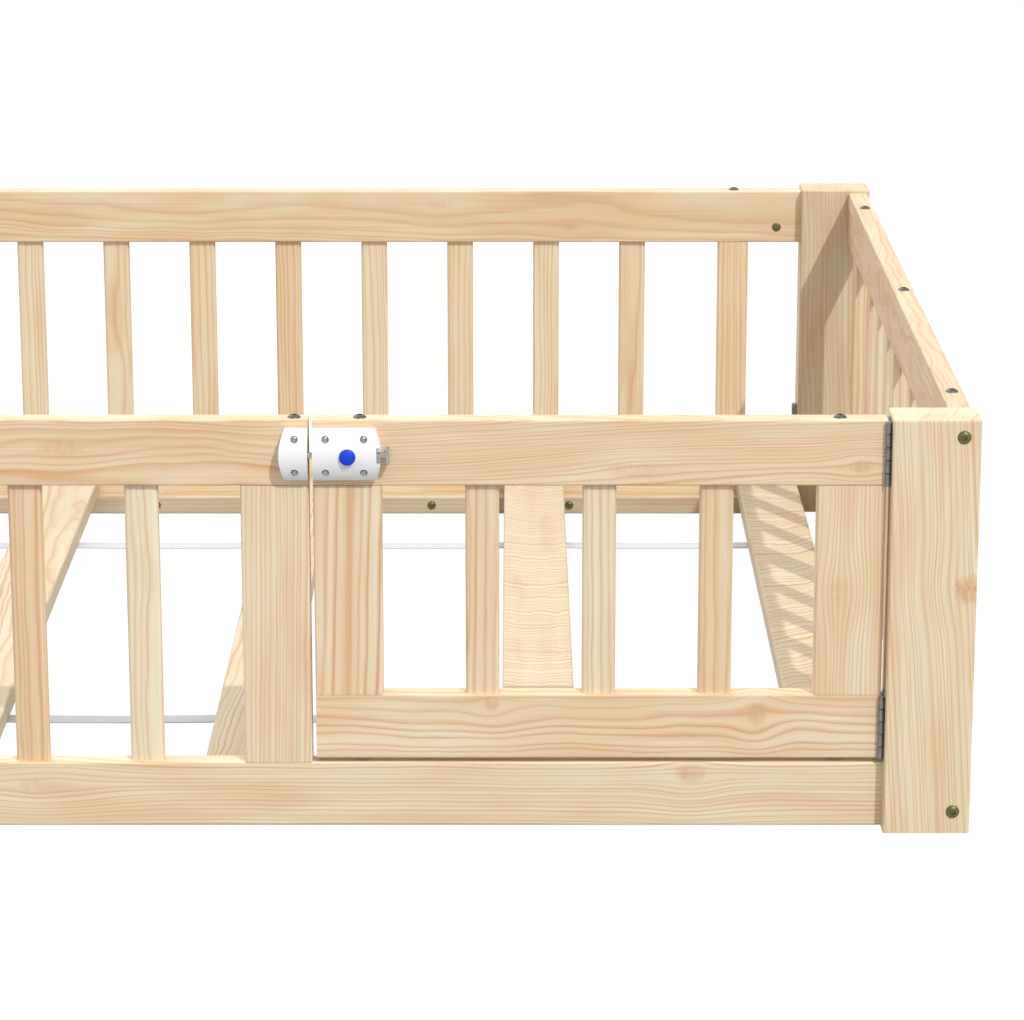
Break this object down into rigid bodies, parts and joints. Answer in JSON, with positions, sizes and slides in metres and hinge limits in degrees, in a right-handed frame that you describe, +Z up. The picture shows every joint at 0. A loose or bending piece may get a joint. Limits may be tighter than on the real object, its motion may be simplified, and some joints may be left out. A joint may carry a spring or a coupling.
{
  "type": "toddler floor bed",
  "caption": "Low pine floor bed for a toddler, with barred guard rails all round, a slatted deck on ledgers and a hinged gate held by a push-button slide latch.",
  "frame": {"origin": "on the floor, at the centre of the bed's outline", "axes": "+X along the bed's length, to the end with the gate; +Y from the gate's side to the back; +Z up"},
  "size_m": [2.0944, 0.9932, 0.333],
  "materials": {
    "pine": "bare or clear-oiled, satin",
    "webbing": "woven white tape",
    "bronzed_steel": "olive-bronze plated, satin",
    "dark_steel": "dark plated, satin",
    "steel": "zinc plated",
    "white_plastic": "semi-gloss moulded",
    "blue_plastic": "semi-gloss moulded"
  },
  "bodies": {
    "bed": {"front_left_post": "pine", "front_right_post": "pine", "back_left_post": "pine", "back_right_post": "pine", "front_top_rail": "pine", "front_bottom_rail": "pine", "back_top_rail": "pine", "back_bottom_rail": "pine", "left_top_rail": "pine", "left_bottom_rail": "pine", "right_top_rail": "pine", "right_bottom_rail": "pine", "front_bars": "pine", "back_bars": "pine", "left_end_uprights": "pine", "right_end_uprights": "pine", "front_gate_side_stile": "pine", "front_left_stile": "pine", "back_left_stile": "pine", "back_middle_stile": "pine", "back_right_stile": "pine", "front_ledger": "pine", "back_ledger": "pine", "slat_1": "pine", "slat_2": "pine", "slat_3": "pine", "slat_4": "pine", "slat_5": "pine", "slat_6": "pine", "slat_7": "pine", "slat_8": "pine", "slat_9": "pine", "front_strap": "webbing", "back_strap": "webbing", "strap_staples": "steel", "post_bolts": "bronzed_steel", "barrel_nuts": "bronzed_steel", "ledger_screws": "bronzed_steel", "stile_bolts": "dark_steel", "post_hinge_screws": "steel", "keeper_screws": "steel", "hinge_post_leaves": "steel", "hinge_pins": "steel", "latch_keeper": "white_plastic", "post_stop_block": "steel"},
    "gate": {"gate_top_rail": "pine", "gate_bottom_rail": "pine", "gate_hinge_stile": "pine", "gate_latch_stile": "pine", "gate_bars": "pine", "gate_stile_bolts": "dark_steel", "gate_hinge_screws": "steel", "hinge_gate_leaves": "steel", "latch_housing": "white_plastic", "latch_back_plate": "white_plastic", "housing_screws": "steel", "button_springs": "steel"},
    "latch_bolt": {"latch_rod": "steel", "latch_pull": "steel"},
    "latch_push_button": {"latch_button": "blue_plastic"}
  },
  "joints": [
    {"name": "gate_swing", "type": "hinge", "parent": "bed", "child": "gate", "pos_m": [0.9749, -0.4822, 0.084], "axis": [0, 0, 1], "range_deg": [0, 115]},
    {"name": "latch_slide", "type": "slide", "parent": "gate", "child": "latch_bolt", "axis": [1, 0, 0], "range_m": [0, 0.012]},
    {"name": "button_press", "type": "slide", "parent": "gate", "child": "latch_push_button", "axis": [0, 1, 0], "range_m": [0, 0.002], "stiffness_N_per_m": 500, "springref_m": -0.002, "deforming": ["button_springs"]}
  ]
}
